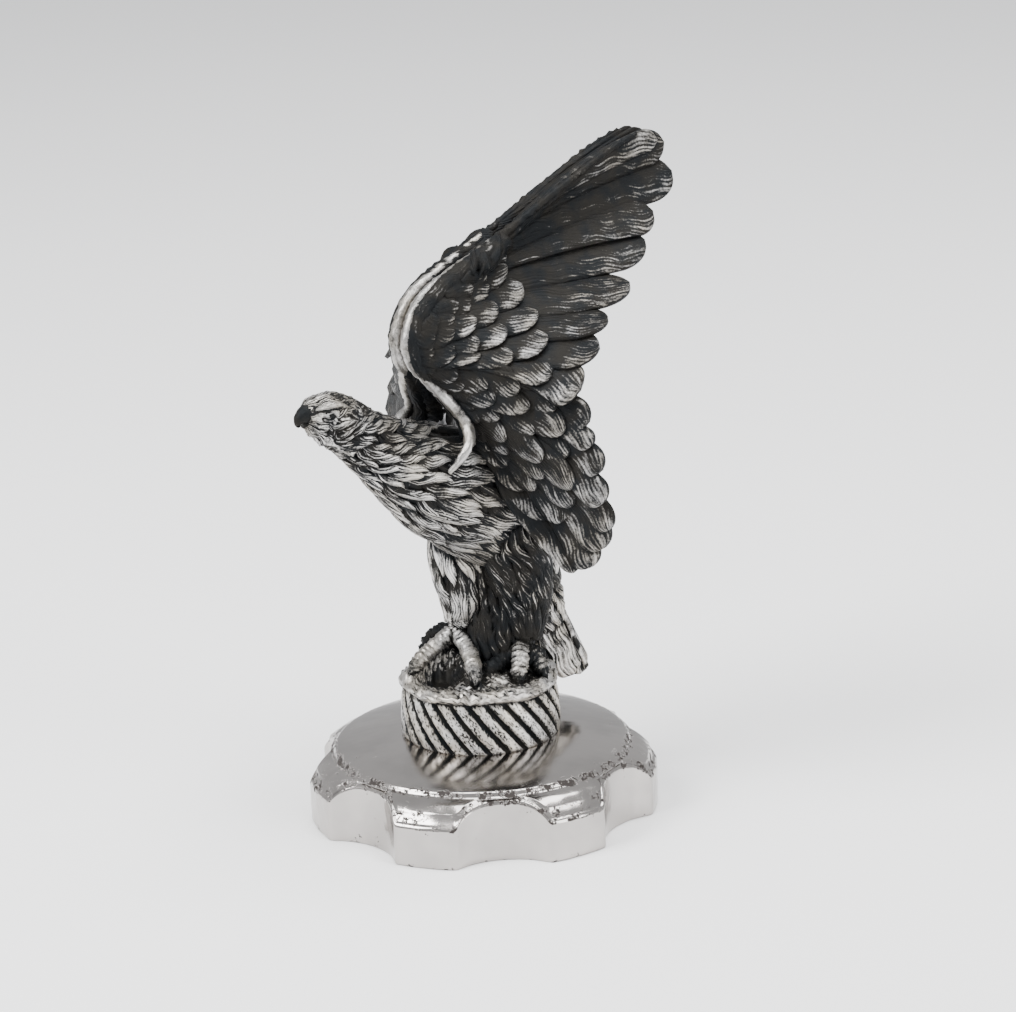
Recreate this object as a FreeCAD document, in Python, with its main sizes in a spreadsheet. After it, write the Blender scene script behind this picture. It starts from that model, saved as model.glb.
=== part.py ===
import FreeCAD, Part
import math
import os
import Sketcher

# Eagle mascot on a seven-lobed screw-on radiator cap.
# Millimetres, +Z up. The origin is on the cap axis, in the plane of the skirt's lower rim.
# The eagle looks along -Y and its left side is +X.

V = FreeCAD.Vector
Z_AXIS = V(0, 0, 1)
doc = FreeCAD.newDocument("mascot_cap")

size = {
    "lobe_radius": 38.0, "plateau_radius": 32.0, "plateau_height": 15.0,
    "step_radius": 32.5, "step_height": 14.0, "shoulder_height": 9.8, "shoulder_bow": 0.9,
    "seat_radius": 17.4, "seat_height": 17.5, "dome_bow": 0.3,
    "wall": 1.2, "ceiling_height": 13.8, "seat_ceiling": 16.1,
    "scallop_radius": 15.36, "scallop_offset": 48.36, "lobe_count": 7, "lobe_fillet": 2.0,
    "neck_outer": 31.0, "neck_bore": 27.4, "neck_groove": 28.2, "neck_seat": 8.8, "neck_flange": 10.2,
    "neck_opening": 21.0, "neck_relief": 28.5, "gasket_inner": 21.5, "gasket_base": 6.8,
    "stud_radius": 4.0, "stud_hole": 4.1, "stud_base": 9.5, "stud_top": 33.0, "stud_chamfer": 0.5,
    "seal_outer": 8.5, "seal_base": 15.3, "washer_outer": 8.0, "washer_base": 14.5,
    "spring_outer": 7.0, "spring_base": 13.3, "spring_gap": 1.2,
    "nut_corner": 7.5, "nut_thick": 3.6, "nut_base": 9.7,
    "collar_end": 17.0, "collar_taper": 0.6, "collar_bow": 0.5, "collar_top": 28.5, "flute_count": 26,
    "flute_radius": 0.75, "flute_twist": 30.0,
    "pin_radius": 1.2, "blade_thick": 1.5,
}

sheet = doc.addObject("Spreadsheet::Sheet", "dims")
for row, (alias, number) in enumerate(size.items(), start=1):
    sheet.set("A%d" % row, alias)
    sheet.set("B%d" % row, str(number))
    sheet.setAlias("B%d" % row, alias)
doc.recompute()


def number_of(value):
    """A dimension is a plain number, a sheet alias, or a pair of alias and offset."""
    if isinstance(value, str):
        return size[value]
    if isinstance(value, tuple):
        return size[value[0]] + value[1]
    return value


def formula_of(value):
    if isinstance(value, str):
        return "dims." + value
    if isinstance(value, tuple):
        return "dims.%s + (%s)" % value
    return str(value)


def drive(item, prop, value):
    item.setExpression(prop, formula_of(value))


# ---------------------------------------------------------------- sketched solids

def sketch_on(body, name, role, height=0.0):
    sketch = body.newObject("Sketcher::SketchObject", name)
    plane = [feature for feature in body.Origin.OriginFeatures if feature.Role == role][0]
    sketch.AttachmentSupport = (plane, [""])
    sketch.MapMode = "FlatFace"
    sketch.AttachmentOffset = FreeCAD.Placement(V(0, 0, height), FreeCAD.Rotation())
    return sketch


def end_at(sketch, index, corner):
    start = sketch.getPoint(index, 1)
    return 1 if start.distanceToPoint(corner) < 1e-6 else 2


def pin_point(sketch, index, end, point):
    """Ties a sketch point to the origin through its two coordinates."""
    for kind, axis, value in (("DistanceX", -2, point[0]), ("DistanceY", -1, point[1])):
        if number_of(value) == 0:
            sketch.addConstraint(Sketcher.Constraint("PointOnObject", index, end, axis))
            continue
        made = sketch.addConstraint(
            Sketcher.Constraint(kind, -1, 1, index, end, number_of(value)))
        if not isinstance(value, (int, float)):
            sketch.setExpression("Constraints[%d]" % made, formula_of(value))


def outline(sketch, points):
    """Closed outline. A third entry bows the side that starts at that point to the right."""
    corners = [V(number_of(point[0]), number_of(point[1]), 0) for point in points]
    count = len(points)
    for index, point in enumerate(points):
        begin = corners[index]
        stop = corners[(index + 1) % count]
        if len(point) == 3:
            right = (stop - begin).cross(Z_AXIS).normalize()
            middle = (begin + stop) * 0.5 + right * number_of(point[2])
            sketch.addGeometry(Part.Arc(begin, middle, stop), False)
        else:
            sketch.addGeometry(Part.LineSegment(begin, stop), False)
    for index, point in enumerate(points):
        end = end_at(sketch, index, corners[index])
        before = index - 1 if index else count - 1
        pin_point(sketch, index, end, point)
        before_end = end_at(sketch, before, corners[index])
        sketch.addConstraint(Sketcher.Constraint("Coincident", before, before_end, index, end))
        if len(point) == 3:
            radius = sketch.Geometry[index].Radius
            sketch.addConstraint(Sketcher.Constraint("Radius", index, radius))


def turned(name, points):
    """A body turned about Z from an outline in the XZ plane."""
    body = doc.addObject("PartDesign::Body", name)
    body.Label = name
    sketch = sketch_on(body, name + "_outline", "XZ_Plane")
    outline(sketch, points)
    spin = body.newObject("PartDesign::Revolution", name + "_turn")
    spin.Profile = sketch
    spin.ReferenceAxis = (sketch, ["V_Axis"])
    spin.Angle = 360
    body.Tip = spin
    doc.recompute()
    return body


def ring(name, inner, outer, base, top):
    return turned(name, [(inner, base), (outer, base), (outer, top), (inner, top)])


def pattern_about_z(body, feature, count):
    pattern = body.newObject("PartDesign::PolarPattern", feature.Name + "_pattern")
    pattern.Originals = [feature]
    axis = [item for item in body.Origin.OriginFeatures if item.Role == "Z_Axis"][0]
    pattern.Axis = (axis, [""])
    pattern.Angle = 360
    pattern.Occurrences = int(size[count])
    pattern.setExpression("Occurrences", "dims." + count)
    body.Tip = pattern
    doc.recompute()
    return pattern


# ---------------------------------------------------------------- plain solids

def along(start, finish):
    """Placement at start whose local Z points at finish."""
    return FreeCAD.Placement(V(*start), FreeCAD.Rotation(Z_AXIS, V(*finish) - V(*start)))


def cylinder(name, start, finish, radius):
    item = doc.addObject("Part::Cylinder", name)
    drive(item, "Radius", radius)
    item.Height = (V(*finish) - V(*start)).Length
    item.Placement = along(start, finish)
    return item


def cone(name, start, finish, first, last):
    item = doc.addObject("Part::Cone", name)
    item.Radius1 = first
    item.Radius2 = last
    item.Height = (V(*finish) - V(*start)).Length
    item.Placement = along(start, finish)
    return item


def ball(name, centre, radius):
    item = doc.addObject("Part::Sphere", name)
    item.Radius = radius
    item.Placement = FreeCAD.Placement(V(*centre), FreeCAD.Rotation())
    return item


def egg(name, start, finish, girth):
    """Ellipsoid whose long axis runs from start to finish."""
    item = doc.addObject("Part::Ellipsoid", name)
    half = (V(*finish) - V(*start)) * 0.5
    item.Radius1 = half.Length
    item.Radius2 = girth
    item.Radius3 = girth
    item.Angle1 = -90
    item.Angle2 = 90
    item.Placement = FreeCAD.Placement(V(*start) + half, FreeCAD.Rotation(Z_AXIS, half))
    return item


def smooth_stations(stations, step):
    """Catmull-Rom curve through the stations, resampled about every step millimetres."""
    smooth = []
    for index in range(len(stations) - 1):
        a = stations[max(index - 1, 0)]
        b = stations[index]
        c = stations[index + 1]
        d = stations[min(index + 2, len(stations) - 1)]
        pieces = max(1, round(math.dist(b[:3], c[:3]) / step))
        for piece in range(pieces):
            share = piece / float(pieces)
            smooth.append([
                q + 0.5 * share * (r - p + share * (2 * p - 5 * q + 4 * r - w + share * (3 * (q - r) + w - p)))
                for p, q, r, w in zip(a, b, c, d)])
    smooth.append(list(stations[-1]))
    return smooth


def tube_through(name, stations, step=4.0, seam=55.0):
    """Smooth limb lofted through circles; a station is x, y, z and radius."""
    rings = []
    path = smooth_stations(stations, step)
    centres = [V(*station[:3]) for station in path]
    for index, station in enumerate(path):
        before = centres[max(index - 1, 0)]
        after = centres[min(index + 1, len(path) - 1)]
        hoop = doc.addObject("Part::Circle", "%s_ring%d" % (name, index))
        hoop.Radius = station[3]
        facing = FreeCAD.Rotation(Z_AXIS, after - before) * FreeCAD.Rotation(Z_AXIS, seam)
        hoop.Placement = FreeCAD.Placement(centres[index], facing)
        rings.append(hoop)
    limb = doc.addObject("Part::Loft", name)
    limb.Sections = rings
    limb.Solid = True
    limb.Ruled = False
    return limb


def blade(name, root, tip, across, width, thick):
    """Flat feather, narrow at the root and round at the tip; across fixes which way its width lies."""
    spine = V(*tip) - V(*root)
    length = spine.Length
    along_x = V(spine).normalize()
    face = along_x.cross(V(*across)).normalize()
    along_y = face.cross(along_x)
    half = width / 2.0
    straight = length - half
    quill = half * 0.4
    sketch = doc.addObject("Sketcher::SketchObject", name + "_outline")
    sketch.addGeometry(Part.LineSegment(V(0, -quill, 0), V(straight, -half, 0)), False)
    sketch.addGeometry(Part.Arc(V(straight, -half, 0), V(length, 0, 0), V(straight, half, 0)), False)
    sketch.addGeometry(Part.LineSegment(V(straight, half, 0), V(0, quill, 0)), False)
    sketch.addGeometry(Part.LineSegment(V(0, quill, 0), V(0, -quill, 0)), False)
    sketch.Placement = FreeCAD.Placement(V(*root), FreeCAD.Rotation(along_x, along_y, face, "ZXY"))
    vane = doc.addObject("Part::Extrusion", name)
    vane.Base = sketch
    vane.DirMode = "Normal"
    vane.Solid = True
    vane.Symmetric = True
    drive(vane, "LengthFwd", thick)
    return vane


def joined(name, items):
    union = doc.addObject("Part::MultiFuse", name)
    union.Shapes = items
    union.Refine = False
    return union


def minus(name, base, tool):
    result = doc.addObject("Part::Cut", name)
    result.Label = name
    result.Base = base
    result.Tool = tool
    result.Refine = False
    return result


def between(first, last, share):
    return tuple(a + (b - a) * share for a, b in zip(first, last))


# ---------------------------------------------------------------- cap

def lobed(name, points, scallop_radius, half_height):
    """Turned blank with its seven scallops cut and the lobes left standing."""
    body = turned(name, points)
    sketch = sketch_on(body, name + "_scallop", "XY_Plane")
    angle = math.radians(-59.3 + 180.0 / size["lobe_count"])
    centre = V(math.cos(angle), math.sin(angle), 0) * size["scallop_offset"]
    sketch.addGeometry(Part.Circle(centre, Z_AXIS, number_of(scallop_radius)), False)
    made = sketch.addConstraint(Sketcher.Constraint("Radius", 0, number_of(scallop_radius)))
    sketch.setExpression("Constraints[%d]" % made, formula_of(scallop_radius))
    blank_volume = body.Shape.Volume
    pocket = body.newObject("PartDesign::Pocket", name + "_scallop_cut")
    pocket.Profile = sketch
    pocket.Length = half_height
    pocket.Midplane = True
    body.Tip = pocket
    doc.recompute()
    assert body.Shape.Volume < blank_volume - 100, "scallop missed the blank"
    pattern_about_z(body, pocket, "lobe_count")
    return body


cap_blank = lobed("cap_blank", [
    (0, 0), ("lobe_radius", 0), ("lobe_radius", "shoulder_height", "shoulder_bow"),
    ("step_radius", "step_height"), ("plateau_radius", "plateau_height", "dome_bow"),
    ("seat_radius", "seat_height"), (0, "seat_height")],
    "scallop_radius", 80)

corner_edges = []
for index, edge in enumerate(cap_blank.Shape.Edges, start=1):
    ends = [vertex.Point for vertex in edge.Vertexes]
    if len(ends) == 2 and math.hypot(ends[0].x - ends[1].x, ends[0].y - ends[1].y) < 1e-4:
        if math.hypot(ends[0].x, ends[0].y) > size["lobe_radius"] - 0.1:
            corner_edges.append("Edge%d" % index)
sharp_volume = cap_blank.Shape.Volume
sharp_cap = cap_blank.Tip
corner_round = cap_blank.newObject("PartDesign::Fillet", "corner_round")
corner_round.Base = (sharp_cap, corner_edges)
drive(corner_round, "Radius", "lobe_fillet")
cap_blank.Tip = corner_round
doc.recompute()
assert cap_blank.Shape.Volume < sharp_volume - 1, "lobe corners were not rounded"

inner_lobe = ("lobe_radius", -size["wall"])
cap_cavity = lobed("cap_cavity", [
    (0, -1), (inner_lobe, -1), (inner_lobe, ("shoulder_height", -0.6), "shoulder_bow"),
    (("step_radius", -0.9), "ceiling_height"), ("neck_relief", "ceiling_height"),
    ("seat_radius", "seat_ceiling"), (0, "seat_ceiling")],
    ("scallop_radius", size["wall"]), 80)
stud_clearance = cylinder("stud_clearance", (0, 0, 10), (0, 0, 20), "stud_hole")
cap_shell = minus("cap_shell", cap_blank, joined("cap_space", [cap_cavity, stud_clearance]))

neck_ring = turned("neck_ring", [
    ("neck_bore", 0), ("neck_outer", 0), ("neck_outer", "ceiling_height"), ("neck_relief", "ceiling_height"),
    ("neck_relief", "neck_flange"), ("neck_opening", "neck_flange"), ("neck_opening", "neck_seat"),
    ("neck_groove", "neck_seat"), ("neck_groove", "gasket_base"), ("neck_bore", "gasket_base")])
gasket = ring("gasket", "gasket_inner", "neck_groove", "gasket_base", "neck_seat")

# ---------------------------------------------------------------- stud and its fasteners

stud_point = ("stud_radius", -size["stud_chamfer"])
mascot_stud = turned("mascot_stud", [
    (0, "stud_base"), (stud_point, "stud_base"), ("stud_radius", ("stud_base", size["stud_chamfer"])),
    ("stud_radius", ("stud_top", -size["stud_chamfer"])), (stud_point, "stud_top"), (0, "stud_top")])
seal_washer = ring("seal_washer", "stud_hole", "seal_outer", "seal_base", "seat_ceiling")
clamp_washer = ring("clamp_washer", "stud_hole", "washer_outer", "washer_base", "seal_base")
spring_ring = ring("spring_ring", "stud_hole", "spring_outer", "spring_base", "washer_base")
split = doc.addObject("Part::Box", "spring_split")
split.Length = 10
drive(split, "Width", "spring_gap")
split.Height = 6
split.Placement = FreeCAD.Placement(V(3, 0, 11), FreeCAD.Rotation(V(1, 0, 0), 25))
lock_washer = minus("lock_washer", spring_ring, split)

nut_hex = doc.addObject("Part::Prism", "nut_hex")
nut_hex.Polygon = 6
drive(nut_hex, "Circumradius", "nut_corner")
drive(nut_hex, "Height", "nut_thick")
nut_hex.Placement = FreeCAD.Placement(V(0, 0, size["nut_base"]), FreeCAD.Rotation())
nut_hex.setExpression("Placement.Base.z", "dims.nut_base")
nut_bore = cylinder("nut_bore", (0, 0, 5), (0, 0, 15), "stud_radius")
clamp_nut = minus("clamp_nut", nut_hex, nut_bore)

# ---------------------------------------------------------------- fluted collar

collar_brim = ("collar_end", -size["collar_taper"])
base_collar = turned("base_collar", [
    ("stud_hole", "seat_height"), ("collar_end", "seat_height", "collar_bow"),
    (collar_brim, "collar_top"), ("stud_hole", "collar_top")])
flute = base_collar.newObject("PartDesign::SubtractiveLoft", "flute")
flute_sections = []
for step in (-1, 0, 1):
    level = 23.0 + 7.0 * step
    lean = math.radians(-size["flute_twist"] * step * 0.5)
    section = sketch_on(base_collar, "flute_section%d" % (step + 2), "XY_Plane", level)
    rise = (level - size["seat_height"]) / (size["collar_top"] - size["seat_height"])
    reach = size["collar_end"] + 0.65 - size["collar_taper"] * rise
    centre = V(math.cos(lean), math.sin(lean), 0) * reach
    section.addGeometry(Part.Circle(centre, Z_AXIS, size["flute_radius"]), False)
    made = section.addConstraint(Sketcher.Constraint("Radius", 0, size["flute_radius"]))
    section.setExpression("Constraints[%d]" % made, "dims.flute_radius")
    flute_sections.append(section)
plain_volume = base_collar.Shape.Volume
flute.Profile = flute_sections[0]
flute.Sections = flute_sections[1:]
base_collar.Tip = flute
doc.recompute()
assert base_collar.Shape.Volume < plain_volume - 0.5, "flute missed the collar"
pattern_about_z(base_collar, flute, "flute_count")

# ---------------------------------------------------------------- rock perch

def rock_layer(name, level, radius, shift, rough):
    """Irregular twelve-sided outline of the rock at one height."""
    layer = doc.addObject("Part::Polygon", name)
    nodes = []
    for step in range(12):
        turn = math.radians(30 * step)
        reach = radius * (1 + rough * math.sin(3 * turn + 1.0) + rough * math.cos(5 * turn + level))
        nodes.append(V(shift[0] + reach * math.cos(turn), shift[1] + reach * math.sin(turn), level))
    layer.Nodes = nodes
    layer.Close = True
    return layer


rock_mass = doc.addObject("Part::Loft", "rock_mass")
rock_mass.Sections = [
    rock_layer("rock_foot", 28.5, 16.2, (0, 0), 0.02),
    rock_layer("rock_rim", 30.4, 16.8, (0, -0.2), 0.02),
    rock_layer("rock_brow", 32.2, 14.2, (0, 0.5), 0.05),
    rock_layer("rock_crown", 35.0, 10.0, (0.5, 1.5), 0.06)]
rock_mass.Solid = True
rock_mass.Ruled = True
rock_ridge = cone("rock_ridge", (-6.5, -13.0, 31.0), (-5.2, -5.0, 36.0), 2.4, 2.2)
rock_bore = cylinder("rock_bore", (0, 0, 26), (0, 0, size["stud_top"] + 0.2), "stud_radius")
rock_hollow = ball("rock_hollow", (2.5, -10.0, 36.0), 4.6)
perch_rock = minus("perch_rock", joined("rock_solid", [rock_mass, rock_ridge]),
                   joined("rock_space", [rock_bore, rock_hollow]))

# ---------------------------------------------------------------- eagle body

torso = tube_through("torso", [
    (0, 15.0, 49.0, 6.5), (0, 10.0, 59.0, 10.5), (0, 0, 68.5, 12.3), (0, -10.0, 76.0, 11.8),
    (0, -18.7, 81.7, 9.6), (0, -26.6, 87.6, 7.0), (0, -32.5, 92.0, 5.4), (0, -37.0, 94.4, 4.3)])
skull = egg("skull", (0, -29.5, 91.0), (0, -44.0, 97.5), 5.0)
upper_beak = cone("upper_beak", (0, -41.0, 97.0), (0, -45.2, 96.2), 2.8, 1.3)
beak_hook = cone("beak_hook", (0, -44.4, 96.6), (0, -45.4, 93.6), 1.4, 0.4)
lower_beak = cone("lower_beak", (0, -40.5, 94.0), (0, -43.8, 93.6), 2.2, 0.8)
brows = [egg("brow_%s" % side, (sign * 2.4, -34.0, 96.6), (sign * 2.8, -42.0, 97.4), 1.5)
         for side, sign in (("left", 1), ("right", -1))]

left_thigh = tube_through("left_thigh", [
    (5.5, 3.0, 64.0, 7.0), (7.2, 5.0, 54.0, 7.4), (7.6, 6.4, 46.0, 5.8), (7.5, 6.4, 39.0, 3.0)])
right_thigh = tube_through("right_thigh", [
    (-4.5, 0.5, 64.0, 7.0), (-5.5, 1.0, 55.0, 7.0), (-5.2, 1.8, 47.5, 5.6), (-4.8, 0.6, 41.5, 3.0)])
rump = tube_through("rump", [(0, 9.0, 58.0, 9.0), (0, 15.0, 47.0, 7.0), (0, 19.0, 38.0, 4.5)])
belly = tube_through("belly", [(1.0, 3.0, 62.0, 8.0), (1.5, 4.5, 51.0, 7.5), (2.0, 6.0, 41.0, 6.5)])

tail_root = (0, 14.0, 60.0)
tail_blades = [
    blade("tail_centre", tail_root, (0, 29.3, 23.3), (1, 0, 0), 8.0, 2.2),
    blade("tail_left", (1.5, 13.0, 58.0), (2.6, 27.0, 25.0), (0.75, -0.6, -0.25), 5.0, 2.0),
    blade("tail_right", (-1.5, 13.0, 58.0), (-2.6, 27.0, 25.0), (0.75, 0.6, 0.25), 5.0, 2.0)]

pin_span = {"left": ((3.0, -5.0, 79.0), (4.6, -4.2, 91.0)), "right": ((-3.0, -5.0, 79.0), (-4.6, -4.2, 91.0))}
pins = {side: cylinder(side + "_wing_pin", span[0], span[1], "pin_radius") for side, span in pin_span.items()}
head = [skull, upper_beak, beak_hook, lower_beak] + brows
figure = joined("figure", head + [torso, belly, left_thigh, right_thigh, rump] + tail_blades)
eagle_body = minus("eagle_body", figure, joined("body_sockets", list(pins.values())))

# ---------------------------------------------------------------- wings

# Centre line and radius of the left wing's arm, from inside the shoulder out to the hand.
ARM_LINE = [
    (5.0, -4.5, 80.5, 3.4), (4.9, -4.0, 88.0, 3.9), (4.2, -9.0, 96.0, 3.4), (3.8, -14.2, 104.0, 3.1),
    (3.5, -13.0, 112.0, 2.8), (3.3, -4.5, 118.0, 2.4), (3.2, 8.0, 122.5, 1.9), (3.2, 20.0, 128.0, 1.4)]
# Feather tips of the left wing, from the longest primary down to the innermost secondary.
PRIMARY_TIPS = [(3.2, 53.5, 140.5), (5, 55.5, 132), (8.5, 46, 125), (11.5, 41.5, 120), (18, 31, 113.5),
                (23, 20, 109), (27, 13.5, 105)]
SECONDARY_TIPS = [(30, 5.5, 98), (32, 6, 91), (33.5, 5.5, 86.5), (35, 6, 81.5), (36, 6, 74.5), (35, 8.5, 68),
                  (32.5, 8.5, 63.5), (29, 8, 58.5), (25, 7, 57)]


def on_arm(station):
    """Point on the arm's centre line; whole numbers are its listed stations."""
    whole = min(int(station), len(ARM_LINE) - 2)
    return between(ARM_LINE[whole][:3], ARM_LINE[whole + 1][:3], station - whole)


flight_tips = PRIMARY_TIPS + SECONDARY_TIPS
flight_roots = [on_arm(5.4 - 2.2 * step / 6.0) for step in range(7)]
flight_roots += [on_arm(3.0 - 2.2 * step / 8.0) for step in range(9)]


def vane_row(prefix, reach, lift, width, thick, picks):
    """One row of feathers that covers a share of the flight feathers' length."""
    row = []
    for index in picks:
        root = V(*flight_roots[index])
        tip = V(*between(flight_roots[index], flight_tips[index], reach))
        above = flight_roots[max(index - 1, 0)]
        below = flight_roots[min(index + 1, len(flight_roots) - 1)]
        spread = V(*flight_tips[max(index - 1, 0)]) - V(*flight_tips[min(index + 1, len(flight_tips) - 1)])
        across = spread.normalize() + (V(*above) - V(*below)).normalize() * 0.4
        outward = (tip - root).cross(across).normalize()
        row.append(blade("%s%d" % (prefix, index + 1), root + outward * lift, tip + outward * lift,
                         across, width, thick))
    return row


arm = tube_through("arm", ARM_LINE)
wing_blank = joined("wing_blank", [arm]
                    + vane_row("flight", 1.0, 0.0, 10.5, "blade_thick", range(16))
                    + vane_row("covert", 0.58, 0.8, 8.5, "blade_thick", range(1, 16))
                    + vane_row("lesser", 0.34, 1.6, 7.5, "blade_thick", range(3, 15)))
left_wing = minus("left_wing", wing_blank, joined("left_root_space", [torso, pins["left"]]))
right_blank = doc.addObject("Part::Mirroring", "right_blank")
right_blank.Source = wing_blank
right_blank.Base = V(0, 0, 0)
right_blank.Normal = V(1, 0, 0)
right_wing = minus("right_wing", right_blank, joined("right_root_space", [torso, pins["right"]]))

# ---------------------------------------------------------------- feet

def foot(name, ankle, toes):
    """Tarsus and toes; a toe is its knuckle, its last joint and its claw tip."""
    knuckle_start = (ankle[0], ankle[1], ankle[2] - 4.0)
    parts = [cone(name + "_tarsus", ankle, knuckle_start, 2.4, 2.1), ball(name + "_heel", knuckle_start, 2.2)]
    for number, (joint, claw) in enumerate(toes, start=1):
        parts.append(cone("%s_toe%d" % (name, number), knuckle_start, joint, 1.8, 1.4))
        parts.append(ball("%s_joint%d" % (name, number), joint, 1.5))
        parts.append(cone("%s_claw%d" % (name, number), joint, claw, 1.2, 0.3))
    on_rock = minus(name + "_on_rock", joined(name + "_solid", parts), perch_rock)
    return minus(name, on_rock, eagle_body)


left_foot = foot("left_foot", (7.5, 6.4, 39.0), [
    ((11.0, 1.5, 33.6), (13.0, -1.6, 30.8)),
    ((6.5, -0.5, 36.0), (6.0, -4.0, 34.8)),
    ((12.5, 7.0, 33.5), (15.5, 6.5, 30.5)),
    ((6.5, 10.5, 34.8), (5.5, 13.0, 33.0))])
right_foot = foot("right_foot", (-4.8, 0.6, 41.5), [
    ((-5.2, -7.0, 36.6), (-5.4, -12.0, 34.2)),
    ((1.0, -3.6, 35.6), (4.6, -4.6, 34.0)),
    ((-10.0, -1.5, 33.8), (-13.0, -2.5, 31.8)),
    ((-5.0, 5.5, 35.2), (-5.5, 8.5, 34.0))])

# ---------------------------------------------------------------- check and write

nodes = {
    "cap_shell": cap_shell, "neck_ring": neck_ring, "gasket": gasket,
    "base_collar": base_collar, "perch_rock": perch_rock, "eagle_body": eagle_body,
    "left_wing": left_wing, "right_wing": right_wing,
    "left_wing_pin": pins["left"], "right_wing_pin": pins["right"],
    "left_foot": left_foot, "right_foot": right_foot, "mascot_stud": mascot_stud,
    "seal_washer": seal_washer, "clamp_washer": clamp_washer,
    "lock_washer": lock_washer, "clamp_nut": clamp_nut,
}
doc.recompute()
faults = []
for item in doc.Objects:
    if "Invalid" in item.State or "Error" in item.State:
        faults.append("%s is %s" % (item.Name, item.State))
for name, item in nodes.items():
    shape = item.Shape
    item.Label = name
    if shape.isNull() or not shape.isValid():
        faults.append(name + " has no valid shape")
    elif len(shape.Solids) != 1:
        faults.append("%s has %d solids" % (name, len(shape.Solids)))
if faults:
    raise RuntimeError("; ".join(faults))

os.makedirs("parts", exist_ok=True)
for name, item in nodes.items():
    item.Shape.exportStep("parts/%s.step" % name)
    print("%-16s %10.1f mm3" % (name, item.Shape.Volume))
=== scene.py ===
import math

import bmesh
import bpy
import numpy as np
from mathutils import Matrix, Vector
from mathutils.bvhtree import BVHTree


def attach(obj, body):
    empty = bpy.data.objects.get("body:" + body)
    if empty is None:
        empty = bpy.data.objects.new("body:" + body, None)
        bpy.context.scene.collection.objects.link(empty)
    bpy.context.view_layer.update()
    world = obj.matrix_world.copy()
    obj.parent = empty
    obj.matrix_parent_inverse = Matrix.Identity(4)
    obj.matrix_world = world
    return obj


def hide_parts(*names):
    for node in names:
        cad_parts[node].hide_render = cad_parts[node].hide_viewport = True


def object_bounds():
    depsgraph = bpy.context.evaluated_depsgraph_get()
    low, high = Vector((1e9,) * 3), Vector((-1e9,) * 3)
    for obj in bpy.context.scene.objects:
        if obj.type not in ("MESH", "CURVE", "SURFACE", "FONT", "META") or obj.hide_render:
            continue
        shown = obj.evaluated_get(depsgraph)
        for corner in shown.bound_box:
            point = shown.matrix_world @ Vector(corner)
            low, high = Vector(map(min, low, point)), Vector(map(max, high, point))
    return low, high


# The look of an eagle mascot on its radiator cap. Lengths are millimetres until build() makes them metres.
MM = 0.001
# One turn, near enough for noise and ripples.
TURN = 6.28
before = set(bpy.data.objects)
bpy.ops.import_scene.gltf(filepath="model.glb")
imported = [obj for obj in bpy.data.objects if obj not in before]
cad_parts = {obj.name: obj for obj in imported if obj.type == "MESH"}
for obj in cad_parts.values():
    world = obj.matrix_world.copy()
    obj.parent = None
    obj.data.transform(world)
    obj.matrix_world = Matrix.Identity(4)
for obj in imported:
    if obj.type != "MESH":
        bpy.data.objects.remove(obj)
cad_low, cad_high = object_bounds()
rng = np.random.default_rng(11)


# ---------------------------------------------------------------- number helpers

def unit(v):
    v = np.asarray(v, float)
    return v / np.maximum(np.linalg.norm(v, axis=-1, keepdims=True), 1e-9)


def smooth(low, high, x):
    """Soft step from 0 at low to 1 at high."""
    share = np.clip((np.asarray(x, float) - low) / (high - low), 0, 1)
    return share * share * (3 - 2 * share)


def turns(columns):
    """Angles evenly round a full turn."""
    return np.linspace(0, 2 * math.pi, columns, endpoint=False)


def curve(points, x):
    """Catmull-Rom curve through the rows of points, read at x counted in rows."""
    p = np.asarray(points, float)
    x = np.clip(np.asarray(x, float), 0, len(p) - 1 - 1e-9)
    i = np.floor(x).astype(int)
    t = (x - i)[..., None]
    a, b, c, d = (p[np.clip(i + k, 0, len(p) - 1)] for k in (-1, 0, 1, 2))
    return b + 0.5 * t * (c - a + t * (2 * a - 5 * b + 4 * c - d + t * (3 * (b - c) + d - a)))


WAVES = [(unit(rng.normal(size=3)) * rng.uniform(0.8, 1.6), rng.uniform(0, TURN)) for _ in range(14)]
# The height that the sum of all the waves seldom passes.
WAVE_HEIGHT = 4.5


def lumps(p, span):
    """Smooth pseudo-random field from about -1 to 1 whose lumps are span across."""
    p = np.asarray(p, float) * (TURN / span)
    total = np.zeros(p.shape[:-1])
    for k, (direction, phase) in enumerate(WAVES):
        total += np.sin(p @ direction * (1 + 0.13 * k) + phase)
    return total / WAVE_HEIGHT


# ---------------------------------------------------------------- mesh building

class Casting:
    """Gathers closed shells with, at each vertex, a count of groove lines and how polished it is; on the far
    wing this number also holds painted shade.
    """

    def __init__(self):
        self.points, self.faces, self.lines, self.polish = [], [], [], []
        self.count = 0

    def add(self, points, faces, line=0.0, polish=0.5):
        points = np.asarray(points, float).reshape(-1, 3)
        self.points.append(points)
        self.faces.append(np.asarray(faces, int) + self.count)
        self.lines.append(np.broadcast_to(np.asarray(line, float).reshape(-1), (len(points),)))
        self.polish.append(np.broadcast_to(np.asarray(polish, float).reshape(-1), (len(points),)))
        self.count += len(points)

    def mirrored(self):
        other = Casting()
        other.points = [p * (-1, 1, 1) for p in self.points]
        other.faces = [f[:, ::-1] for f in self.faces]
        other.lines, other.polish, other.count = self.lines, self.polish, self.count
        return other


def grid_faces(rows, columns, wrap=False):
    """Quads of a grid of points; wrap joins the last column to the first."""
    across = columns if wrap else columns - 1
    r, c = np.meshgrid(np.arange(rows - 1), np.arange(across), indexing="ij")
    a = r * columns + c
    b = r * columns + (c + 1) % columns
    return np.stack([a, b, b + columns, a + columns], -1).reshape(-1, 4)


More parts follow.
